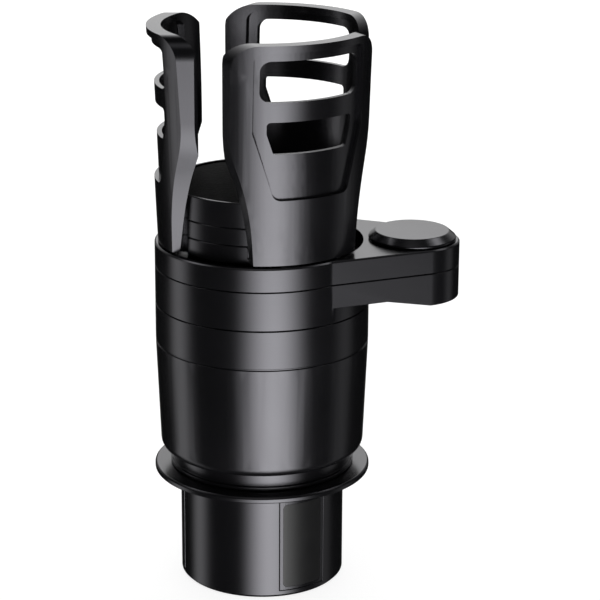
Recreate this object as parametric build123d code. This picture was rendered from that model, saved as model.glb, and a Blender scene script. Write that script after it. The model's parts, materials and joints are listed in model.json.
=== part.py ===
from build123d import *
import os
from math import asin, cos, degrees, radians, sin, tan

# Cup holder expander: a base that grips a car's cup holder with three sliding jaws, a cup that turns on it
# and drives the jaws through a scroll cam, and an arm that swings a second holder with three sprung claws.
# Millimetres, +Z up. Origin: centre of the base's underside. The arm points along +X.

# Base sleeve
baseR = 33.5
baseWall = 2.2
baseHeight = 48.3
flangeR = 44.1
flangeThick = 2.5
flangeEdge = 0.7
webThick = 4.4
bottomEdge = 1.2

# Jaws and their windows
jawAngles = {"front": -60.0, "rear": 60.0, "left": 180.0}
windowHalf = 10.3
windowLow = 2.9
windowHigh = 43.5
slideGap = 0.3
jawThick = 4.2
jawTravel = 8.0
padHalf = 8.8
padDepth = 1.2
padLowMargin = 1.1
padTopMargin = 2.8
padCorner = 2.0
sliderHalf = 6.0
sliderTop = 10.4
tongueLow = 35.5
tongueThick = 3.5
jawRibWidth = 2.0
jawRibDepth = 2.6

# Bottom plate and its screws
plateThick = 2.0
guideRibWidth = 1.8
guideRibHeight = 6.0
guideRibInner = 12.0
guideRibGap = 1.9
railDrop = 8.6
plateScrewInset = 3.3
plateBossR = 3.0
plateBossTop = 9.5
plateScrewR = 1.3
plateScrewHeadR = 2.4
plateScrewHead = 1.4

# Scroll cam on the spindle
runGap = 0.4
shaftR = 15.0
camClear = 0.8
camRim = 4.5
camLow = 10.9
camThick = 4.0
camTurn = 100.0
camPinR = 2.0
camPinWall = 3.0
hubFlangeR = 19.5
hubFlangeThick = 2.0
thrustWasherThick = 1.5
spindleScrewR = 3.0
spindleScrewHeadR = 5.5
spindleScrewHead = 3.0

# Neck of the spindle
neckR = 36.3
neckStepR = 37.5
neckStepHeight = 1.4
neckHeight = 6.6
neckWall = 3.0
neckFloor = 2.4
neckHubR = 18.0
cupScrewCircle = 26.0
cupScrewBossR = 4.0
cupScrewR = 1.5
cupScrewHeadR = 3.0
cupScrewHead = 1.6

# Cup
cupBore = 39.4
cupLowR = 41.5
cupTopR = 43.2
cupFloorThick = 5.5
cupCorner = 4.0
cupTop = 133.0
cupGrooveZ = 101.5
cupGrooveDepth = 0.5
cupGrooveWidth = 0.7
collarThick = 1.9
collarGap = 0.1
collarLow = 117.6
floorPadThick = 2.0
floorPadRim = 2.2

# Arms and pivot
pivotX = 60.3
tipR = 19.1
armSideAngle = 21.3
armRootX = 20.0
lowerArmBottom = 123.7
lowerArmTipBottom = 120.0
lowerArmRampStart = 49.5
lowerArmRampEnd = 67.0
armSkin = 2.4
armWall = 2.2
armRib = 1.8
armBossR = 15.4
seamGap = 0.4
upperBandHeight = 9.45
upperBandWall = 2.5
panFloor = 1.4
armEdge = 0.6
boltR = 4.0
boltGap = 0.3
boltHeadR = 7.0
boltHeadHeight = 4.5
boltHeadRecess = 3.4
bushThick = 2.3
bushRecess = 1.2
bushR = 9.0
capSocketR = 13.4
capSocketDepth = 5.6
nutHeight = 3.5
springWasherThick = 1.2
springWasherR = 8.0
capR = 17.6
capTopR = 14.7
capRim = 0.9
capHeight = 3.35
capLift = 0.3
capSkirtWall = 1.6

# Claw carrier and spacers
carrierThick = 2.0
carrierGap = 0.3
drumR = 30.0
drumWall = 2.0
drumRise = 0.0
lugThick = 2.4
lugDepth = 5.0
lugHeight = 4.6
carrierScrewCircle = 35.0
carrierScrewR = 1.2
carrierScrewHeadR = 2.4
carrierScrewHead = 1.5
spacerR = 37.1
spacerGap = 0.1
spacerLowThick = 6.95
spacerTopThick = 10.1
spacerFloor = 1.6
spacerWall = 1.5
foamRim = 1.1
foamThick = 3.0
foamInset = 0.4
notchDepth = 1.2
gateNotch = 3.4
gateNotchAngle = -24.5
gateNotchDrop = 5.6
keyNotchAngle = 23.0
keyNotch = 2.4
keyNotchRise = 2.1

# Claws, the two beside the arm set a little wider apart
clawAngles = {"front": -62.0, "rear": 62.0, "left": 180.0}
clawPivotR = 36.6
clawPivotDrop = 4.3
clawBarrelR = 2.6
clawPinR = 1.25
clawPinGap = 0.15
clawFootHalf = 12.0
clawFootGap = 0.4
clawFootInner = 38.2
clawFootOuter = 39.8
clawFootDrop = 2.3
clawSpringHalf = 4.0
clawSpringTurns = 6
clawLift = 0.7
clawHeight = 86.6
clawFootR = 41.8
clawWaistR = 42.8
clawWaistDrop = 62.2
clawMidR = 43.7
clawMidDrop = 36.7
clawLipR = 45.4
clawFootThick = 2.5
clawWaistThick = 4.6
clawMidThick = 5.6
clawLipThick = 5.8
clawHalfLow = 22.5
clawHalfWaist = 23.7
clawHalfWaistDrop = 71.2
clawHalfShoulder = 27.4
clawHalfShoulderDrop = 52.3
clawHalf = 30.8
clawShoulderDrop = 33.0
clawTopCorner = 9.0
clawReach = 60.0
clawSweep = 100.0
panelHalf = 23.8
panelLowHalf = 15.9
panelTopDrop = 2.8
panelShoulderDrop = 34.0
panelLowDrop = 60.5
panelCorner = 3.5
panelRecess = 1.8
panelThick = 2.0
upperWindowHalf = 20.9
upperWindowTopDrop = 6.2
upperWindowHeight = 16.0
upperWindowCorner = 4.0
lowerWindowHalf = 18.2
lowerWindowLowHalf = 15.7
lowerWindowTopDrop = 29.9
lowerWindowSide = 4.6
lowerWindowHeight = 12.6
lowerWindowCorner = 1.5

# Sizes that follow from the values above
baseInner = baseR - baseWall
jawInner = baseR - jawThick
camR = jawInner - camClear
camPinStart = camR - camRim - jawTravel
hubR = camPinStart - camPinWall
sliderInner = camPinStart - camPinWall
tongueInner = hubR + 2.0
guideRibOuter = jawInner - guideRibGap
railInner = hubFlangeR + 1.0
plateScrewCircle = baseInner - plateScrewInset
flangeLow = baseHeight - flangeThick
webLow = baseHeight - webThick
hubTop = webLow - slideGap - thrustWasherThick
neckLow = baseHeight + runGap
neckTop = neckLow + neckHeight
cupFloorTop = neckTop + cupFloorThick
padSeat = cupFloorTop - floorPadThick
collarSeat = cupTopR - collarThick
upperLow = cupTop + seamGap
upperTop = upperLow + upperBandHeight
upperBandInner = cupTopR - upperBandWall
camTop = camLow + camThick
carrierLow = upperLow + panFloor
carrierTop = carrierLow + carrierThick
bushLow = cupTop - bushRecess
upperBossLow = bushLow + bushThick + slideGap
socketFloor = upperTop - capSocketDepth
springWasherLow = socketFloor + slideGap
nutLow = springWasherLow + springWasherThick
capLow = upperTop + capLift
drumTop = upperTop + drumRise
clawPivotZ = upperTop - clawPivotDrop
clawFootLow = clawPivotZ - clawFootDrop
clawLow = upperTop + clawLift
clawTop = clawLow + clawHeight
foamR = spacerR - foamRim
spacerLevels = [drumTop + step * (spacerLowThick + spacerGap) for step in range(3)]
spacerTop = spacerLevels[2] + spacerTopThick
bases = (Align.CENTER, Align.CENTER, Align.MIN)


def disc(radius, low, high, x=0.0, y=0.0):
    return Pos(x, y, low) * Cylinder(radius, high - low, align=bases)


def ring(outer, inner, low, high, x=0.0, y=0.0):
    return disc(outer, low, high, x, y) - disc(inner, low - 1, high + 1, x, y)


def block(x0, x1, y0, y1, low, high):
    return Pos(x0, y0, low) * Box(x1 - x0, y1 - y0, high - low, align=(Align.MIN, Align.MIN, Align.MIN))


def turned(points):
    return revolve(make_face(Polyline([(r, 0, z) for r, z in points], close=True)), Axis.Z)


def hexPrism(radius, low, high, x=0.0):
    return Pos(x, 0, low) * extrude(RegularPolygon(radius, 6), high - low)


def onCircle(radius, angles, make):
    shape = None
    for angle in angles:
        item = Rot(0, 0, angle) * Pos(radius, 0, 0) * make()
        shape = item if shape is None else shape + item
    return shape


def between(angles):
    return [angle + 60.0 for angle in angles.values()]


def separate(radius, angles, make):
    return Compound(children=[Rot(0, 0, angle) * Pos(radius, 0, 0) * make() for angle in angles])


def baseSleeve():
    sleeve = turned([
        (baseInner, 0), (baseR - bottomEdge, 0), (baseR, bottomEdge), (baseR, flangeLow),
        (flangeR - flangeEdge / 2, flangeLow), (flangeR, flangeLow + flangeEdge / 2),
        (flangeR, baseHeight - flangeEdge), (flangeR - flangeEdge, baseHeight),
        (shaftR + slideGap, baseHeight), (shaftR + slideGap, webLow), (baseInner, webLow)])
    boss = onCircle(plateScrewCircle, between(jawAngles),
                    lambda: disc(plateBossR, plateThick, plateBossTop)
                    + block(0, baseInner - plateScrewCircle + 0.5, -1, 1, plateThick, plateBossTop))
    sleeve += boss & disc(baseR - 0.5, 0, baseHeight)
    inner = sliderHalf + slideGap
    for angle in jawAngles.values():
        rail = block(railInner, guideRibOuter, inner, inner + guideRibWidth, webLow - railDrop, webLow + 0.5)
        sleeve += Rot(0, 0, angle) * rail + Rot(0, 0, angle) * mirror(rail, Plane.XZ)
    for angle in jawAngles.values():
        sleeve -= Rot(0, 0, angle) * block(baseInner - 3, baseR + 1, -windowHalf, windowHalf, windowLow, windowHigh)
    sleeve -= onCircle(plateScrewCircle, between(jawAngles), lambda: disc(plateScrewR, 0, plateBossTop - 1))
    return sleeve


def bottomPlate():
    plate = disc(baseInner - 0.2, 0, plateThick)
    inner = sliderHalf + slideGap
    ribTop = plateThick + guideRibHeight
    for angle in jawAngles.values():
        rib = block(guideRibInner, guideRibOuter, inner, inner + guideRibWidth, plateThick - 0.5, ribTop)
        plate += Rot(0, 0, angle) * rib + Rot(0, 0, angle) * mirror(rib, Plane.XZ)
    hole = lambda: disc(plateScrewR, -1, plateThick + 1) + disc(plateScrewHeadR, -1, plateScrewHead + 0.1)
    return plate - onCircle(plateScrewCircle, between(jawAngles), hole)


def plateScrews():
    return separate(plateScrewCircle, between(jawAngles),
                    lambda: disc(plateScrewHeadR - 0.1, 0.2, plateScrewHead + 0.1)
                    + disc(plateScrewR, plateScrewHead, plateBossTop - 1.2))


def jaw():
    low = windowLow + slideGap
    high = windowHigh - slideGap
    half = windowHalf - slideGap
    inner = jawInner
    body = ring(baseR, inner, low, high) & block(0, baseR + 1, -half, half, low, high)
    body += block(sliderInner, inner + 1, -sliderHalf, sliderHalf, low - 0.2, sliderTop)
    body += block(tongueInner, inner + 1, -sliderHalf, sliderHalf, tongueLow, tongueLow + tongueThick)
    ribLow = camTop + 1.2
    for y in (-sliderHalf + jawRibWidth / 2, sliderHalf - jawRibWidth / 2):
        body += block(inner - jawRibDepth, inner + 1, y - jawRibWidth / 2, y + jawRibWidth / 2, ribLow, tongueLow + 1)
    body += disc(camPinR, sliderTop - 1, camTop - 0.3, camPinStart)
    return body - jawPad()


def jawPad():
    low = windowLow + slideGap + padLowMargin
    high = windowHigh - slideGap - padTopMargin
    face = Plane.YZ * Pos(0, (low + high) / 2) * RectangleRounded(2 * padHalf, high - low, padCorner)
    return extrude(face, baseR + padDepth) & ring(baseR, baseR - padDepth, low, high)


def spindle():
    neck = turned([(0, neckLow), (neckStepR, neckLow), (neckStepR, neckLow + neckStepHeight),
                   (neckR, neckLow + neckStepHeight), (neckR, neckTop), (0, neckTop)])
    neck -= ring(neckR - neckWall, neckHubR, neckLow + neckFloor, neckTop + 1)
    neck += disc(shaftR, hubTop, neckLow + 1)
    neck += onCircle(cupScrewCircle, between(jawAngles), lambda: disc(cupScrewBossR, neckLow + 1, neckTop))
    neck -= onCircle(cupScrewCircle, between(jawAngles), lambda: disc(cupScrewR, neckLow + 1.5, neckTop + 1))
    return neck - disc(spindleScrewR, hubTop - 1, neckTop - 2)


def camSlot(angle):
    # The pin moves out by jawTravel while the cam turns through camTurn, so the slot runs back round the cam.
    steps = 12
    points = []
    for step in range(steps + 1):
        share = step / steps
        bearing = radians(angle - share * camTurn)
        reach = camPinStart + share * jawTravel
        points.append((reach * cos(bearing), reach * sin(bearing)))
    return trace(Spline(points), 2 * (camPinR + slideGap))


def scrollCam():
    cam = disc(camR, camLow, camTop) + disc(hubR, camTop, hubTop)
    cam += disc(hubFlangeR, hubTop - hubFlangeThick, hubTop)
    for angle in jawAngles.values():
        start = Pos(camPinStart * cos(radians(angle)), camPinStart * sin(radians(angle)))
        end = radians(angle - camTurn)
        reach = camPinStart + jawTravel
        ends = start * Circle(camPinR + slideGap) + Pos(reach * cos(end), reach * sin(end)) * Circle(camPinR + slideGap)
        cam -= Pos(0, 0, camLow - 1) * extrude(camSlot(angle) + ends, camThick + 2)
    cam -= disc(spindleScrewR + 0.2, camLow - 1, hubTop + 1)
    return cam - disc(spindleScrewHeadR + 0.3, camLow - 1, camLow + spindleScrewHead)


def thrustWasher():
    return ring(hubFlangeR, shaftR + 0.3, hubTop, hubTop + thrustWasherThick)


def spindleScrew():
    head = hexPrism(spindleScrewHeadR, camLow + 0.3, camLow + spindleScrewHead)
    return head + disc(spindleScrewR, camLow + spindleScrewHead - 0.5, neckTop - 2.5)


def cupBody():
    outer = Polyline((0, 0, neckTop), (cupLowR - cupCorner, 0, neckTop)) + TangentArc(
        (cupLowR - cupCorner, 0, neckTop), (cupLowR, 0, neckTop + cupCorner), tangent=(1, 0, 0))
    outer += Polyline((cupLowR, 0, neckTop + cupCorner), (cupTopR, 0, cupGrooveZ), (cupTopR, 0, collarLow - seamGap),
                      (collarSeat, 0, collarLow - seamGap), (collarSeat, 0, cupTop), (cupBore, 0, cupTop),
                      (cupBore, 0, cupFloorTop), (cupBore - floorPadRim, 0, cupFloorTop),
                      (cupBore - floorPadRim, 0, padSeat), (0, 0, padSeat), (0, 0, neckTop))
    body = revolve(make_face(outer), Axis.Z)
    body -= ring(cupTopR + 2, cupTopR - cupGrooveDepth, cupGrooveZ - cupGrooveWidth / 2, cupGrooveZ + cupGrooveWidth / 2)
    hole = lambda: disc(cupScrewR, neckTop - 1, padSeat + 1) + disc(cupScrewHeadR, padSeat - cupScrewHead, padSeat + 1)
    return body - onCircle(cupScrewCircle, between(jawAngles), hole)


def cupScrews():
    return separate(cupScrewCircle, between(jawAngles),
                    lambda: disc(cupScrewHeadR - 0.1, padSeat - cupScrewHead, padSeat - 0.2)
                    + disc(cupScrewR, neckLow + 2, padSeat - cupScrewHead + 0.2))


def armPlan(inset):
    side = radians(armSideAngle)
    radius = tipR - inset
    tangentX = pivotX + radius * sin(side)
    tangentY = radius * cos(side)
    rootY = tangentY + (tangentX - armRootX) * tan(side)
    wedge = make_face(Polyline((armRootX, -rootY), (tangentX, -tangentY), (tangentX, tangentY), (armRootX, rootY),
                               close=True))
    return wedge + Pos(pivotX, 0) * Circle(radius)


def armCore(low, high, ringR):
    core = Pos(0, 0, low) * extrude(armPlan(armWall), high - low)
    core -= disc(ringR, low - 1, high + 1)
    core -= disc(armBossR, low - 1, high + 1, pivotX)
    core -= block(0, pivotX, -armRib / 2, armRib / 2, low - 1, high + 1)
    for y in (-capSocketR, capSocketR):
        core -= block(0, pivotX, y - armRib / 2, y + armRib / 2, low - 1, high + 1)
    return core


def armCollar():
    lowest = lowerArmTipBottom
    reach = pivotX + tipR + 1.0
    side = make_face(Polyline((0, 0, cupTop), (reach, 0, cupTop), (reach, 0, lowest), (lowerArmRampEnd, 0, lowest),
                              (lowerArmRampStart, 0, lowerArmBottom), (0, 0, lowerArmBottom), close=True))
    arm = extrude(side, cupTopR + tipR, both=True) & Pos(0, 0, lowest) * extrude(armPlan(0), cupTop - lowest)
    arm += disc(cupTopR, collarLow, cupTop)
    arm -= armCore(lowest - 1, cupTop - armSkin, cupTopR)
    arm -= disc(collarSeat + collarGap, collarLow - 1, cupTop + 1)
    arm -= disc(boltR, lowest - 1, cupTop + 1, pivotX)
    arm -= hexPrism(boltHeadR + 0.1, lowest - 1, lowest + boltHeadRecess + boltHeadHeight, pivotX)
    arm -= disc(bushR + 0.3, bushLow, cupTop + 1, pivotX)
    return arm.solids()[0]


def pivotBolt():
    low = lowerArmTipBottom + boltHeadRecess
    head = hexPrism(boltHeadR, low, low + boltHeadHeight, pivotX)
    return head + disc(boltR, low + boltHeadHeight - 0.5, nutLow + nutHeight + 0.4, pivotX)


def upperCollar():
    plan = armPlan(0) + Circle(cupTopR)
    body = Pos(0, 0, upperLow) * extrude(plan, upperBandHeight)
    body = chamfer(body.faces().sort_by(Axis.Z)[-1].edges(), armEdge)
    body -= armCore(upperLow - 1, upperTop - armSkin, cupTopR)
    body -= disc(upperBandInner, carrierLow, upperTop + 1)
    body -= disc(bushR + 0.3, upperLow - 1, upperBossLow, pivotX)
    body -= disc(boltR + boltGap, upperLow - 1, upperTop, pivotX)
    body -= disc(capSocketR, socketFloor, upperTop + 1, pivotX)
    return body - onCircle(carrierScrewCircle, between(jawAngles), lambda: disc(carrierScrewR, upperLow + 0.2, carrierLow + 1))


def pivotCap():
    cap = turned([(0, capLow), (capR, capLow), (capR, capLow + capRim), (capTopR, capLow + capHeight),
                  (0, capLow + capHeight)])
    cap -= disc(capR - 2, capLow - 1, capLow + 0.6)
    skirtR = capSocketR - 0.3
    cap += ring(skirtR, skirtR - capSkirtWall, socketFloor, capLow + 1)
    return Pos(pivotX, 0, 0) * cap


def clawCarrier():
    body = disc(upperBandInner - carrierGap, carrierLow, carrierTop) + disc(drumR, carrierLow, drumTop)
    body -= disc(drumR - drumWall, carrierTop, drumTop - 2)
    lug = clawFootHalf + clawFootGap
    for angle in clawAngles.values():
        pocket = block(clawPivotR - 4, upperBandInner + 1, -lug, lug, carrierLow - 1, carrierTop + 1)
        body -= Rot(0, 0, angle) * pocket
        ear = block(clawPivotR - lugDepth / 2, clawPivotR + 1.6, lug, lug + lugThick, carrierTop - 0.5, carrierTop + lugHeight)
        pair = (ear + mirror(ear, Plane.XZ)) & disc(upperBandInner - carrierGap, 0, clawTop)
        pair -= Pos(clawPivotR, 0, clawPivotZ) * Rot(90, 0, 0) * Cylinder(clawPinR, 2 * (lug + lugThick) + 2)
        body += Rot(0, 0, angle) * pair
    hole = lambda: disc(carrierScrewR + 0.1, carrierLow - 1, carrierTop + 1)
    body -= onCircle(carrierScrewCircle, between(jawAngles), hole)
    return body.solids()[0]


def carrierScrews():
    return separate(carrierScrewCircle, between(jawAngles),
                    lambda: disc(carrierScrewHeadR, carrierTop, carrierTop + carrierScrewHead)
                    + disc(carrierScrewR, upperLow + 0.3, carrierTop + 0.5))


def spacerNotches(low, high, lowest):
    inner = spacerR - notchDepth
    gate = block(inner, spacerR + 1, -gateNotch / 2, gateNotch / 2, low, high)
    cuts = onCircle(0, [angle + gateNotchAngle for angle in between(jawAngles)], lambda: gate)
    if lowest:
        key = block(inner, spacerR + 1, -keyNotch / 2, keyNotch / 2, low + keyNotchRise, high)
        cuts += onCircle(0, [angle + keyNotchAngle for angle in between(jawAngles)], lambda: key)
    return cuts


def spacer(level, thick, lowest=False, lip=0.0):
    low = spacerLevels[level]
    high = low + thick
    body = disc(spacerR, low, high)
    body = chamfer(body.edges().filter_by(GeomType.CIRCLE), 0.3)
    body -= disc(spacerR - spacerWall, low + spacerFloor, high - spacerFloor)
    if lip:
        body -= disc(foamR, high - lip, high + 1)
    return body - spacerNotches(low, high - gateNotchDrop if lip else high, lowest)


def clawStations(foot, waist, mid, lip):
    # A line up the claw as (radius, height) at its foot, waist, middle and lip.
    return [(foot, 0, clawLow), (waist, 0, clawTop - clawWaistDrop), (mid, 0, clawTop - clawMidDrop), (lip, 0, clawTop)]


def clawBand(outer, inner):
    top = Line(outer[-1], inner[-1])
    bottom = Line(outer[0], inner[0])
    section = make_face(Spline(outer) + Spline(inner) + top + bottom)
    return Rot(0, 0, -clawSweep / 2) * revolve(section, Axis.Z, clawSweep)


def clawOuter(inset):
    return clawStations(clawFootR - inset, clawWaistR - inset, clawMidR - inset, clawLipR - inset)


def clawShell():
    inner = clawStations(clawFootR - clawFootThick, clawWaistR - clawWaistThick, clawMidR - clawMidThick,
                         clawLipR - clawLipThick)
    return clawBand(clawOuter(0), inner)


def radialPrism(face):
    return Plane.YZ * extrude(face, clawReach)


def clawOutline():
    shoulder = clawTop - clawShoulderDrop
    side = Spline((clawHalfLow, clawLow), (clawHalfWaist, clawTop - clawHalfWaistDrop),
                  (clawHalfShoulder, clawTop - clawHalfShoulderDrop), (clawHalf, shoulder),
                  tangents=[(0.07, 1), (0, 1)])
    other = mirror(side, Plane.YZ)
    top = Polyline((clawHalf, shoulder), (clawHalf, clawTop), (-clawHalf, clawTop), (-clawHalf, shoulder))
    face = make_face(side + top + other + Line((clawHalfLow, clawLow), (-clawHalfLow, clawLow)))
    corners = [v for v in face.vertices() if abs(v.Y - clawTop) < 0.01]
    return fillet(corners, clawTopCorner)


def roundedOutline(points, radius):
    face = make_face(Polyline(points, close=True))
    return fillet(face.vertices(), radius)


def panelOutline():
    low = clawTop - panelLowDrop
    shoulder = clawTop - panelShoulderDrop
    top = clawTop - panelTopDrop
    return roundedOutline([(-panelLowHalf, low), (panelLowHalf, low), (panelHalf, shoulder), (panelHalf, top),
                           (-panelHalf, top), (-panelHalf, shoulder)], panelCorner)


def clawWindows():
    top = clawTop - upperWindowTopDrop
    upper = Pos(0, top - upperWindowHeight / 2) * RectangleRounded(
        2 * upperWindowHalf, upperWindowHeight, upperWindowCorner)
    high = clawTop - lowerWindowTopDrop
    low = high - lowerWindowHeight
    shoulder = high - lowerWindowSide
    lower = roundedOutline([(-lowerWindowLowHalf, low), (lowerWindowLowHalf, low), (lowerWindowHalf, shoulder),
                            (lowerWindowHalf, high), (-lowerWindowHalf, high), (-lowerWindowHalf, shoulder)],
                           lowerWindowCorner)
    return radialPrism(upper) + radialPrism(lower)


def claw():
    body = clawShell() & radialPrism(clawOutline())
    panel = radialPrism(panelOutline())
    depth = panelRecess + panelThick
    front = clawBand(clawStations(clawReach, clawReach, clawReach, clawReach), clawOuter(panelRecess))
    back = clawBand(clawOuter(depth), clawStations(clawFootR / 2, clawWaistR / 2, clawMidR / 2, clawLipR / 2))
    body -= front & panel
    body -= back & panel
    body -= clawWindows()
    foot = ring(clawFootOuter, clawFootInner, clawFootLow, clawLow + 2) & block(
        0, clawReach, -clawFootHalf, clawFootHalf, clawFootLow, clawTop)
    body += foot
    barrel = Pos(clawPivotR, 0, clawPivotZ) * Rot(90, 0, 0) * Cylinder(clawBarrelR, 2 * clawFootHalf)
    body += barrel & disc(clawFootOuter, 0, clawTop)
    body -= block(clawPivotR - 5, clawFootOuter + 1, -clawSpringHalf, clawSpringHalf, clawFootLow - 2, clawLow - 3)
    return body - Pos(clawPivotR, 0, clawPivotZ) * Rot(90, 0, 0) * Cylinder(clawPinR + clawPinGap, 4 * clawFootHalf)


def clawPin():
    return Pos(clawPivotR, 0, clawPivotZ) * Rot(90, 0, 0) * Cylinder(
        clawPinR, 2 * (clawFootHalf + clawFootGap + lugThick))


def clawSpring():
    wire = 0.5
    radius = clawPinR + 0.1 + wire
    pitch = 2 * (clawSpringHalf - 0.6) / clawSpringTurns
    coil = Cylinder(radius, 2 * (clawSpringHalf - 0.6))
    for turn in range(clawSpringTurns - 1):
        z = -(clawSpringHalf - 0.6) + (turn + 1) * pitch
        groove = Pos(0, 0, z) * Torus(radius + 0.15, 0.3)
        coil -= groove
    coil -= Cylinder(clawPinR, 4 * clawSpringHalf)
    return Pos(clawPivotR, 0, clawPivotZ) * Rot(90, 0, 0) * coil


def foamPad():
    return disc(foamR - 0.1, spacerTop - foamThick - foamInset, spacerTop - foamInset)


def build():
    nodes = {
        "base_sleeve": baseSleeve(),
        "base_bottom_plate": bottomPlate(),
        "base_plate_screws": plateScrews(),
        "spindle": spindle(),
        "scroll_cam": scrollCam(),
        "thrust_washer": thrustWasher(),
        "spindle_screw": spindleScrew(),
        "cup_body": cupBody(),
        "cup_screws": cupScrews(),
        "cup_floor_pad": disc(cupBore - floorPadRim - 0.2, padSeat, cupFloorTop),
        "arm_collar": armCollar(),
        "pivot_bolt": pivotBolt(),
        "pivot_bush": ring(bushR, boltR, bushLow, bushLow + bushThick, pivotX),
        "pivot_spring_washer": ring(springWasherR, boltR, springWasherLow, nutLow, pivotX),
        "pivot_nut": hexPrism(boltHeadR, nutLow, nutLow + nutHeight, pivotX)
                     - disc(boltR, nutLow - 1, nutLow + nutHeight + 1, pivotX),
        "upper_collar": upperCollar(),
        "pivot_cap": pivotCap(),
        "claw_carrier": clawCarrier(),
        "carrier_screws": carrierScrews(),
        "spacer_lower": spacer(0, spacerLowThick, lowest=True),
        "spacer_middle": spacer(1, spacerLowThick),
        "spacer_upper": spacer(2, spacerTopThick, lip=foamThick + foamInset),
        "foam_pad": foamPad(),
    }
    for side, angle in jawAngles.items():
        nodes["jaw_" + side] = Rot(0, 0, angle) * jaw()
        nodes["jaw_pad_" + side] = Rot(0, 0, angle) * jawPad()
    for side, angle in clawAngles.items():
        nodes["claw_" + side] = Rot(0, 0, angle) * claw()
        nodes["claw_pin_" + side] = Rot(0, 0, angle) * clawPin()
        nodes["claw_spring_" + side] = Rot(0, 0, angle) * clawSpring()
    return nodes


os.makedirs("parts", exist_ok=True)
for name, shape in build().items():
    export_step(shape, "parts/" + name + ".step")
    print(name, "written")
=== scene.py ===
import bpy
import json
import math
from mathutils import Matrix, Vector

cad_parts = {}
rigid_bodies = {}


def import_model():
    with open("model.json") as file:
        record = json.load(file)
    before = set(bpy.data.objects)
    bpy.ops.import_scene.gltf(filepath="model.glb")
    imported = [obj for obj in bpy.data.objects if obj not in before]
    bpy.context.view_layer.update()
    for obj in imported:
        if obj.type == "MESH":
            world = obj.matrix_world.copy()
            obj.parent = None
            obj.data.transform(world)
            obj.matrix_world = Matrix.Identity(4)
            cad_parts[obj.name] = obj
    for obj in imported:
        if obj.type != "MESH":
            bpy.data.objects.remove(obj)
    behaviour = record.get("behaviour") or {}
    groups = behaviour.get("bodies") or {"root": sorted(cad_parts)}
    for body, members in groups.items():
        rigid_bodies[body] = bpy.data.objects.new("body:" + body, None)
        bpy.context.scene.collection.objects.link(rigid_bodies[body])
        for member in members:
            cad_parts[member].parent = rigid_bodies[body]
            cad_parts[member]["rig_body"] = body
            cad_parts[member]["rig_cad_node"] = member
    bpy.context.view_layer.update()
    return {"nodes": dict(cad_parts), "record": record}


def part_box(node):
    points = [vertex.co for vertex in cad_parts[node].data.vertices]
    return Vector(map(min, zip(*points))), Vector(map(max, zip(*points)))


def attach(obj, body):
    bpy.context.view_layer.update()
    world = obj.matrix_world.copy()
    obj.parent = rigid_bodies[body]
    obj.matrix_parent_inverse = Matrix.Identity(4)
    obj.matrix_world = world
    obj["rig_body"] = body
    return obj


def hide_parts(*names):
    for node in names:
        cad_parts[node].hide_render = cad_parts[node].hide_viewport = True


# Cup holder expander in satin black moulded plastic. Metres, +Z up, the arm points along +X.

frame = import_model()
nodes = frame["nodes"]
bodyOf = {name: body for body, names in frame["record"]["behaviour"]["bodies"].items() for name in names}
slotOf = {part["node"]: part["material_slot"] for part in frame["record"]["subparts"]}
jointOf = {joint["name"]: joint for joint in frame["record"]["behaviour"]["joints"]}
mm = 0.001
print("frame loaded:", len(nodes), "parts")


# Shared node groups

def newGroup(name, inputs, outputs):
    group = bpy.data.node_groups.new(name, "ShaderNodeTree")
    for label, kind, value in inputs:
        socket = group.interface.new_socket(name=label, in_out="INPUT", socket_type=kind)
        socket.default_value = value
    for label, kind in outputs:
        group.interface.new_socket(name=label, in_out="OUTPUT", socket_type=kind)
    return group, group.nodes.new("NodeGroupInput"), group.nodes.new("NodeGroupOutput")


def addNode(tree, kind, **values):
    node = tree.nodes.new(kind)
    for key, value in values.items():
        if key in node.inputs:
            node.inputs[key].default_value = value
        else:
            setattr(node, key, value)
    return node


def mathNode(tree, operation, first, second=None, third=None):
    node = tree.nodes.new("ShaderNodeMath")
    node.operation = operation
    for socket, value in zip(node.inputs, (first, second, third)):
        if value is None:
            continue
        if isinstance(value, (int, float)):
            socket.default_value = value
        else:
            tree.links.new(value, socket)
    return node.outputs[0]


def makeGrainGroup():
    # Spark-eroded mould texture: a fine grain, with a slow unevenness over it.
    group, entry, leave = newGroup("mouldGrain", [
        ("Grain Size", "NodeSocketFloat", 0.0004), ("Cloud Size", "NodeSocketFloat", 0.02)], [
        ("Height", "NodeSocketFloat"), ("Cloud", "NodeSocketFloat")])
    place = group.nodes.new("ShaderNodeTexCoord").outputs["Object"]
    grainScale = mathNode(group, "DIVIDE", 1.0, entry.outputs["Grain Size"])
    cloudScale = mathNode(group, "DIVIDE", 1.0, entry.outputs["Cloud Size"])
    grain = addNode(group, "ShaderNodeTexNoise", Detail=3.0, Roughness=0.6)
    cloud = addNode(group, "ShaderNodeTexNoise", Detail=2.0, Roughness=0.5)
    for node, scale in ((grain, grainScale), (cloud, cloudScale)):
        group.links.new(place, node.inputs["Vector"])
        group.links.new(scale, node.inputs["Scale"])
    group.links.new(grain.outputs["Fac"], leave.inputs["Height"])
    group.links.new(cloud.outputs["Fac"], leave.inputs["Cloud"])
    return group


# Edge mask and tone: the mask paints a highlight along the edges and makes them smoother; the cloud gives a random
# tone.
edgeHighlightAndPolish = {"pointyLow": 0.52, "pointyHigh": 0.62, "toneSpan": 0.5, "toneLow": 0.75, "roughSpan": 0.08}


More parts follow.
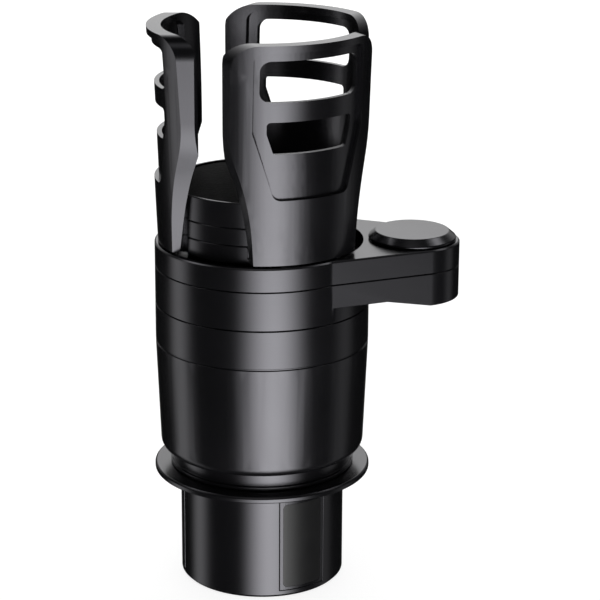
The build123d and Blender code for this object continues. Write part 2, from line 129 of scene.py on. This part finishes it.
def makeEdgeGroup():
    # The edges come out paler than the faces, which is a painted highlight, and smoother, as handling polishes
    # them.
    group, entry, leave = newGroup("edgeHighlightAndPolishNodes", [
        ("Face Colour", "NodeSocketColor", (0.02, 0.02, 0.02, 1)),
        ("Edge Highlight Colour", "NodeSocketColor", (0.08, 0.08, 0.08, 1)),
        ("Face Roughness", "NodeSocketFloat", 0.4), ("Edge Roughness", "NodeSocketFloat", 0.3),
        ("Cloud", "NodeSocketFloat", 0.5), ("Amount", "NodeSocketFloat", 0.6)], [
        ("Colour", "NodeSocketColor"), ("Roughness", "NodeSocketFloat")])
    pointy = group.nodes.new("ShaderNodeNewGeometry").outputs["Pointiness"]
    ramp = addNode(group, "ShaderNodeMapRange")
    ramp.inputs["From Min"].default_value = edgeHighlightAndPolish["pointyLow"]
    ramp.inputs["From Max"].default_value = edgeHighlightAndPolish["pointyHigh"]
    group.links.new(pointy, ramp.inputs["Value"])
    edge = mathNode(group, "MULTIPLY", ramp.outputs["Result"], entry.outputs["Amount"])
    colour = addNode(group, "ShaderNodeMix", data_type="RGBA")
    group.links.new(edge, colour.inputs["Factor"])
    group.links.new(entry.outputs["Face Colour"], colour.inputs["A"])
    group.links.new(entry.outputs["Edge Highlight Colour"], colour.inputs["B"])
    shift = mathNode(group, "MULTIPLY_ADD", entry.outputs["Cloud"], edgeHighlightAndPolish["toneSpan"], edgeHighlightAndPolish["toneLow"])
    tone = addNode(group, "ShaderNodeMix", data_type="RGBA", blend_type="MULTIPLY")
    tone.inputs["Factor"].default_value = 1.0
    group.links.new(colour.outputs["Result"], tone.inputs["A"])
    group.links.new(shift, tone.inputs["B"])
    group.links.new(tone.outputs["Result"], leave.inputs["Colour"])
    rough = addNode(group, "ShaderNodeMix")
    group.links.new(edge, rough.inputs["Factor"])
    group.links.new(entry.outputs["Face Roughness"], rough.inputs["A"])
    group.links.new(entry.outputs["Edge Roughness"], rough.inputs["B"])
    span = edgeHighlightAndPolish["roughSpan"]
    wander = mathNode(group, "MULTIPLY_ADD", entry.outputs["Cloud"], span, -span / 2)
    total = mathNode(group, "ADD", rough.outputs["Result"], wander)
    group.links.new(total, leave.inputs["Roughness"])
    return group


grainGroup = makeGrainGroup()
edgeGroup = makeEdgeGroup()


# Materials

surfaceIor = 1.5


def makeMaterial(name, look):
    material = bpy.data.materials.new(name)
    material.use_nodes = True
    tree = material.node_tree
    shader = tree.nodes["Principled BSDF"]
    shader.inputs["Metallic"].default_value = look.get("metallic", 0.0)
    shader.inputs["IOR"].default_value = surfaceIor
    shader.inputs["Specular IOR Level"].default_value = look.get("specular", 0.5)
    shader.inputs["Specular Tint"].default_value = (*look.get("specularTint", (1, 1, 1)), 1)
    grain = tree.nodes.new("ShaderNodeGroup")
    grain.node_tree = grainGroup
    grain.inputs["Grain Size"].default_value = look["grainSize"]
    grain.inputs["Cloud Size"].default_value = look["cloudSize"]
    edge = tree.nodes.new("ShaderNodeGroup")
    edge.node_tree = edgeGroup
    edge.inputs["Face Colour"].default_value = (*look["colour"], 1)
    # The paler edge colour is a painted highlight along the edges.
    edge.inputs["Edge Highlight Colour"].default_value = (*look["edgeHighlightColour"], 1)
    edge.inputs["Face Roughness"].default_value = look["roughness"]
    edge.inputs["Edge Roughness"].default_value = look["edgeRoughness"]
    edge.inputs["Amount"].default_value = look["edgeAmount"]
    tree.links.new(grain.outputs["Cloud"], edge.inputs["Cloud"])
    tree.links.new(edge.outputs["Colour"], shader.inputs["Base Color"])
    tree.links.new(edge.outputs["Roughness"], shader.inputs["Roughness"])
    bump = addNode(tree, "ShaderNodeBump", Strength=look["grainStrength"], Distance=look["grainDepth"])
    tree.links.new(grain.outputs["Height"], bump.inputs["Height"])
    tree.links.new(bump.outputs["Normal"], shader.inputs["Normal"])
    return material


# Each look's edge colour is paler than its face colour, a painted highlight along the edges.
blackPlastic = {"colour": (0.004, 0.004, 0.0046), "edgeHighlightColour": (0.01, 0.01, 0.011), "roughness": 0.23,
                "specular": 0.8, "specularTint": (0.94, 0.93, 1.0), "edgeRoughness": 0.22, "edgeAmount": 0.8,
                "grainSize": 0.00035, "grainDepth": 0.00001, "grainStrength": 0.4, "cloudSize": 0.03}
gripRubber = {"colour": (0.004, 0.004, 0.0044), "edgeHighlightColour": (0.009, 0.009, 0.009), "roughness": 0.4,
              "specular": 0.5, "edgeRoughness": 0.4, "edgeAmount": 0.5, "grainSize": 0.0006,
              "grainDepth": 0.00002, "grainStrength": 0.4, "cloudSize": 0.01}
darkFoam = {"colour": (0.005, 0.005, 0.0055), "edgeHighlightColour": (0.02, 0.02, 0.02), "roughness": 0.85,
            "specular": 0.16, "edgeRoughness": 0.8, "edgeAmount": 0.3, "grainSize": 0.0014,
            "grainDepth": 0.0007, "grainStrength": 1.0, "cloudSize": 0.004}
zincSteel = {"colour": (0.55, 0.55, 0.56), "edgeHighlightColour": (0.75, 0.75, 0.76), "roughness": 0.34, "metallic": 1.0,
             "edgeRoughness": 0.22, "edgeAmount": 0.7, "grainSize": 0.0003, "grainDepth": 0.00002,
             "grainStrength": 0.3, "cloudSize": 0.004}
greyAcetal = {"colour": (0.42, 0.42, 0.41), "edgeHighlightColour": (0.5, 0.5, 0.49), "roughness": 0.32,
              "edgeRoughness": 0.28, "edgeAmount": 0.4, "grainSize": 0.0006, "grainDepth": 0.00001,
              "grainStrength": 0.3, "cloudSize": 0.01}

finishes = {
    "black_plastic": makeMaterial("satinBlackPlastic", blackPlastic),
    "rubber_pad": makeMaterial("gripRubber", gripRubber),
    "foam": makeMaterial("darkFoam", darkFoam),
    "steel": makeMaterial("zincPlatedSteel", zincSteel),
    "grey_acetal": makeMaterial("greyAcetal", greyAcetal),
}
print("materials made:", len(finishes))


# Pieces

def setFinish(obj, slot):
    obj.data.materials.clear()
    obj.data.materials.append(finishes[slot])


def select(obj):
    bpy.ops.object.select_all(action="DESELECT")
    obj.select_set(True)
    bpy.context.view_layer.objects.active = obj


def applyModifier(obj, kind, **values):
    select(obj)
    modifier = obj.modifiers.new(kind.lower(), kind)
    for key, value in values.items():
        setattr(modifier, key, value)
    bpy.ops.object.modifier_apply(modifier=modifier.name)


# Each visible moulding is a welded copy of its solid, with its sharp edges rounded, in mm.
roundedParts = {
    "base_sleeve": 0.35, "base_bottom_plate": 0.25, "spindle": 0.3, "cup_body": 0.22, "arm_collar": 0.3,
    "upper_collar": 0.3, "pivot_cap": 0.35, "claw_carrier": 0.15, "spacer_lower": 0.12, "spacer_middle": 0.12,
    "spacer_upper": 0.12, "jaw_front": 0.22, "jaw_rear": 0.22, "jaw_left": 0.22, "jaw_pad_front": 0.4,
    "jaw_pad_rear": 0.4, "jaw_pad_left": 0.4, "claw_front": 0.2, "claw_rear": 0.2, "claw_left": 0.2,
}
rounding = {"weld": 0.00001, "flatAngle": 0.6, "sharpAngle": 28.0, "segments": 3, "smoothAngle": 40,
            "normalWeight": 80}


def roundedCopy(name, edge):
    source = nodes[name]
    piece = source.copy()
    piece.data = source.data.copy()
    piece.name = name + "_skin"
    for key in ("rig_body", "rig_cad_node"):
        if key in piece:
            del piece[key]
    piece.parent = None
    bpy.context.scene.collection.objects.link(piece)
    select(piece)
    bpy.ops.object.mode_set(mode="EDIT")
    bpy.ops.mesh.select_all(action="SELECT")
    bpy.ops.mesh.remove_doubles(threshold=rounding["weld"])
    bpy.ops.mesh.dissolve_limited(angle_limit=math.radians(rounding["flatAngle"]))
    bpy.ops.object.mode_set(mode="OBJECT")
    applyModifier(piece, "BEVEL", width=edge * mm, segments=rounding["segments"], limit_method="ANGLE",
                  angle_limit=math.radians(rounding["sharpAngle"]), use_clamp_overlap=True, miter_outer="MITER_ARC")
    select(piece)
    bpy.ops.object.shade_smooth_by_angle(angle=math.radians(rounding["smoothAngle"]))
    applyModifier(piece, "WEIGHTED_NORMAL", keep_sharp=True, weight=rounding["normalWeight"])
    setFinish(piece, slotOf[name])
    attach(piece, bodyOf[name])
    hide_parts(name)


for partName, partEdge in roundedParts.items():
    roundedCopy(partName, partEdge)
for partName, part in nodes.items():
    setFinish(part, slotOf[partName])
print("rounded parts:", len(roundedParts))


def finishPiece(piece, name, body, slot):
    piece.name = name
    select(piece)
    bpy.ops.object.transform_apply(location=True, rotation=True, scale=True)
    setFinish(piece, slot)
    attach(piece, body)


# Closed cell foam discs: flat cut pads with a soft rim and uneven cells.
foamLook = {"steps": 96, "topGap": 0.2, "rim": 0.9, "rimSegments": 3, "rimAngle": 60, "grid": 0.75,
            "cellSize": 0.0016, "cellDepth": 0.16, "waveSize": 0.012, "waveDepth": 0.22, "fill": 0.95}


def foamTexture(name, size):
    texture = bpy.data.textures.new(name, "CLOUDS")
    texture.noise_scale = size
    texture.noise_depth = 1
    return texture


def makeFoamPad(name):
    low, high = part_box(name)
    radius = (high[0] - low[0]) / 2
    bpy.ops.object.select_all(action="DESELECT")
    bpy.ops.mesh.primitive_circle_add(vertices=foamLook["steps"], radius=radius, fill_type="NGON",
                                      location=(0, 0, low[2]))
    pad = bpy.context.active_object
    bpy.ops.object.mode_set(mode="EDIT")
    bpy.ops.mesh.select_all(action="SELECT")
    rise = high[2] - low[2] - foamLook["topGap"] * mm
    bpy.ops.mesh.extrude_region_move(TRANSFORM_OT_translate={"value": (0, 0, rise)})
    bpy.ops.mesh.select_all(action="SELECT")
    bpy.ops.mesh.normals_make_consistent(inside=False)
    bpy.ops.object.mode_set(mode="OBJECT")
    applyModifier(pad, "BEVEL", width=foamLook["rim"] * mm, segments=foamLook["rimSegments"], limit_method="ANGLE",
                  angle_limit=math.radians(foamLook["rimAngle"]))
    applyModifier(pad, "REMESH", mode="VOXEL", voxel_size=foamLook["grid"] * mm)
    for label, size, depth in (("Cells", foamLook["cellSize"], foamLook["cellDepth"]),
                               ("Wave", foamLook["waveSize"], foamLook["waveDepth"])):
        applyModifier(pad, "DISPLACE", texture=foamTexture(name + label, size), texture_coords="LOCAL",
                      strength=depth * mm, mid_level=0.5)
    select(pad)
    bpy.ops.object.shade_smooth()
    finishPiece(pad, name + "_cells", bodyOf[name], slotOf[name])
    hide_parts(name)


for foamName in ("foam_pad", "cup_floor_pad"):
    makeFoamPad(foamName)
print("foam pads made")


# Wound torsion springs round the claws' pins.
springLook = {"wire": 0.29, "wireSteps": 2, "centreR": 1.55, "turns": 6, "steps": 14, "half": 3.0, "leg": 1.6,
              "smoothAngle": 50}


def makeSpring(side):
    node = "claw_spring_" + side
    joint = jointOf["claw_tilt_" + side]
    centre = Vector(joint["pos_m"])
    along = Vector(joint["axis"]).normalized()
    up = Vector((0, 0, 1))
    outward = along.cross(up).normalized()
    total = springLook["turns"] * springLook["steps"]
    path = []
    for step in range(total + 1):
        turn = 2 * math.pi * step / springLook["steps"]
        ring = outward * math.cos(turn) + up * math.sin(turn)
        slide = along * (2 * step / total - 1) * springLook["half"] * mm
        path.append(centre + ring * springLook["centreR"] * mm + slide)
    leg = Vector((0, 0, springLook["leg"] * mm))
    path = [path[0] - leg] + path + [path[-1] - leg]
    curve = bpy.data.curves.new(node + "Wire", "CURVE")
    curve.dimensions = "3D"
    curve.bevel_depth = springLook["wire"] * mm
    curve.bevel_resolution = springLook["wireSteps"]
    curve.use_fill_caps = True
    spline = curve.splines.new("POLY")
    spline.points.add(len(path) - 1)
    for point, place in zip(spline.points, path):
        point.co = (*place, 1)
    wire = bpy.data.objects.new(node + "Wire", curve)
    bpy.context.scene.collection.objects.link(wire)
    select(wire)
    bpy.ops.object.convert(target="MESH")
    wire = bpy.context.active_object
    bpy.ops.object.shade_smooth_by_angle(angle=math.radians(springLook["smoothAngle"]))
    finishPiece(wire, node + "_coil", bodyOf[node], slotOf[node])
    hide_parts(node)


for springSide in ("front", "rear", "left"):
    makeSpring(springSide)
print("claw springs wound")


# Cross recessed pan heads under the base plate.
screwLook = {"count": 3, "circle": 28.0, "headR": 2.3, "low": 0.2, "headHigh": 1.5, "shaftR": 1.25,
             "shaftHigh": 8.2, "crossHalf": 1.3, "crossWidth": 0.5, "crossDepth": 0.8, "crossTurn": 0.4,
             "edge": 0.25, "edgeSegments": 2, "edgeAngle": 50, "smoothAngle": 35, "steps": 40}


def makeScrew():
    bpy.ops.object.select_all(action="DESELECT")
    bpy.ops.mesh.primitive_circle_add(vertices=screwLook["steps"], radius=screwLook["headR"] * mm,
                                      fill_type="NGON", location=(0, 0, screwLook["low"] * mm))
    screw = bpy.context.active_object
    bpy.ops.object.mode_set(mode="EDIT")
    bpy.ops.mesh.select_all(action="SELECT")
    rise = (screwLook["headHigh"] - screwLook["low"]) * mm
    bpy.ops.mesh.extrude_region_move(TRANSFORM_OT_translate={"value": (0, 0, rise)})
    bpy.ops.mesh.inset(thickness=(screwLook["headR"] - screwLook["shaftR"]) * mm)
    rise = (screwLook["shaftHigh"] - screwLook["headHigh"]) * mm
    bpy.ops.mesh.extrude_region_move(TRANSFORM_OT_translate={"value": (0, 0, rise)})
    bpy.ops.mesh.select_all(action="SELECT")
    bpy.ops.mesh.normals_make_consistent(inside=False)
    bpy.ops.object.mode_set(mode="OBJECT")
    for turned in (0, 90):
        bpy.ops.object.select_all(action="DESELECT")
        bpy.ops.mesh.primitive_cube_add(size=1, location=(0, 0, screwLook["low"] * mm),
                                        rotation=(0, 0, math.radians(turned)))
        blade = bpy.context.active_object
        blade.scale = (2 * screwLook["crossHalf"] * mm, screwLook["crossWidth"] * mm,
                       2 * screwLook["crossDepth"] * mm)
        bpy.ops.object.transform_apply(location=False, rotation=False, scale=True)
        applyModifier(screw, "BOOLEAN", operation="DIFFERENCE", object=blade, solver="EXACT")
        bpy.data.objects.remove(blade, do_unlink=True)
    applyModifier(screw, "BEVEL", width=screwLook["edge"] * mm, segments=screwLook["edgeSegments"],
                  limit_method="ANGLE", angle_limit=math.radians(screwLook["edgeAngle"]), use_clamp_overlap=True)
    select(screw)
    bpy.ops.object.shade_smooth_by_angle(angle=math.radians(screwLook["smoothAngle"]))
    return screw


def makeScrews():
    first = makeScrew()
    screws = [first]
    for _ in range(screwLook["count"] - 1):
        copy = first.copy()
        copy.data = first.data.copy()
        bpy.context.scene.collection.objects.link(copy)
        screws.append(copy)
    for number, screw in enumerate(screws):
        turn = math.radians(360 / screwLook["count"] * number)
        place = Vector((math.cos(turn), math.sin(turn), 0)) * screwLook["circle"] * mm
        screw.location = place + Vector((0, 0, screw.location.z))
        screw.rotation_euler = (0, 0, turn + screwLook["crossTurn"])
        finishPiece(screw, "base_plate_screw_" + str(number + 1), bodyOf["base_plate_screws"], "steel")
        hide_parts("base_plate_screws")


makeScrews()
print("base screws made")


# Floor, lights and camera

stageLook = {"floorSize": 12.0, "floorWhite": 0.9, "floorRoughness": 0.9, "cameraGlow": 0.5, "glowStrength": 1.65,
             "roomGlow": 0.3, "glossyGlow": 0.006}
cameraLook = {"place": (0, -0.9011, 0.4050), "tilt": 72.258, "sensor": 36, "lens": 140.07, "shift": 0.0633,
              "clipStart": 0.01}
lightAim = 0.12  # height of the point that all panels face
softLights = {
    # azimuth from the camera, distance, elevation, reach to the sides and up and down in degrees, radiance
    "front": (12, 1.3, -25, 40, 44, 5.9),
    "left": (-98, 1.3, -18, 21, 48, 1.1),
    "right": (98, 1.3, -18, 19, 48, 0.26),
    "rear": (180, 1.3, -18, 20, 48, 0.5),
    "back": (180, 1.6, 26, 56, 34, 1.5),
    "top": (0, 1.4, 72, 30, 20, 0.4),
    "topLeft": (-108, 1.4, 52, 16, 16, 3.0),
    "topRight": (108, 1.4, 52, 16, 16, 3.0),
}


def makeFloor():
    bpy.ops.object.select_all(action="DESELECT")
    bpy.ops.mesh.primitive_plane_add(size=stageLook["floorSize"])
    floor = bpy.context.active_object
    floor.name = "floor"
    material = bpy.data.materials.new("paleFloor")
    material.use_nodes = True
    tree = material.node_tree
    shader = tree.nodes["Principled BSDF"]
    shader.inputs["Base Color"].default_value = (*[stageLook["floorWhite"]] * 3, 1)
    shader.inputs["Roughness"].default_value = stageLook["floorRoughness"]
    glow = addNode(tree, "ShaderNodeEmission", Strength=stageLook["glowStrength"])
    mix = tree.nodes.new("ShaderNodeMixShader")
    path = tree.nodes.new("ShaderNodeLightPath")
    seen = mathNode(tree, "MULTIPLY", path.outputs["Is Camera Ray"], stageLook["cameraGlow"])
    tree.links.new(seen, mix.inputs["Fac"])
    tree.links.new(shader.outputs["BSDF"], mix.inputs[1])
    tree.links.new(glow.outputs["Emission"], mix.inputs[2])
    tree.links.new(mix.outputs["Shader"], tree.nodes["Material Output"].inputs["Surface"])
    floor.data.materials.append(material)
    floor.visible_glossy = False  # the satin walls mirror the panels below it
    floor.visible_shadow = False  # and the panels shine through it


def softenSides(lamp, reaches):
    # A softbox is brightest in its middle. It fades to nothing at its sides, by the squared cosine of the angle.
    lamp.use_nodes = True
    tree = lamp.node_tree
    split = tree.nodes.new("ShaderNodeSeparateXYZ")
    tree.links.new(tree.nodes.new("ShaderNodeNewGeometry").outputs["Parametric"], split.inputs["Vector"])
    level = None
    for socket, reach in zip(("X", "Y"), reaches):
        centred = mathNode(tree, "SUBTRACT", split.outputs[socket], 0.5)
        slide = mathNode(tree, "MULTIPLY", centred, 2 * math.tan(reach))
        angle = mathNode(tree, "MULTIPLY", mathNode(tree, "ARCTANGENT", slide), math.pi / 2 / reach)
        fade = mathNode(tree, "POWER", mathNode(tree, "COSINE", angle), 2)
        level = fade if level is None else mathNode(tree, "MULTIPLY", level, fade)
    tree.links.new(level, tree.nodes["Emission"].inputs["Strength"])


def makeLights():
    for name, (azimuth, distance, elevation, sideReach, highReach, radiance) in softLights.items():
        turn = math.radians(azimuth)
        lift = math.radians(elevation)
        out = Vector((math.sin(turn) * math.cos(lift), -math.cos(turn) * math.cos(lift), math.sin(lift)))
        bpy.ops.object.light_add(type="AREA", location=Vector((0, 0, lightAim)) + out * distance)
        lamp = bpy.context.active_object
        reaches = (math.radians(sideReach), math.radians(highReach))
        width, height = [2 * math.tan(reach) * distance for reach in reaches]
        lamp.name = name + "Light"
        lamp.data.shape = "RECTANGLE"
        lamp.data.size = width
        lamp.data.size_y = height
        lamp.data.energy = radiance * math.pi * width * height
        lamp.rotation_euler = out.to_track_quat("Z", "Y").to_euler()
        lamp.visible_camera = False
        softenSides(lamp.data, reaches)


def makeWorld():
    world = bpy.data.worlds.new("studio")
    bpy.context.scene.world = world
    world.use_nodes = True
    tree = world.node_tree
    path = tree.nodes.new("ShaderNodeLightPath")
    background = tree.nodes["Background"]
    background.inputs["Color"].default_value = (1, 1, 1, 1)
    seen = mathNode(tree, "MAXIMUM", path.outputs["Is Camera Ray"], path.outputs["Is Transmission Ray"])
    glossy = mathNode(tree, "MULTIPLY", path.outputs["Is Glossy Ray"], stageLook["glossyGlow"])
    dim = mathNode(tree, "MULTIPLY", path.outputs["Is Diffuse Ray"], stageLook["roomGlow"])
    rest = mathNode(tree, "MAXIMUM", glossy, dim)
    tree.links.new(mathNode(tree, "MAXIMUM", seen, rest), background.inputs["Strength"])


def makeCamera():
    bpy.ops.object.camera_add(location=cameraLook["place"], rotation=(math.radians(cameraLook["tilt"]), 0, 0))
    camera = bpy.context.active_object
    camera.data.sensor_width = cameraLook["sensor"]
    camera.data.lens = cameraLook["lens"]
    camera.data.shift_x = cameraLook["shift"]
    camera.data.clip_start = cameraLook["clipStart"]
    bpy.context.scene.camera = camera


makeFloor()
makeLights()
makeWorld()
makeCamera()
bpy.context.scene.view_settings.view_transform = "Standard"
print("stage set")
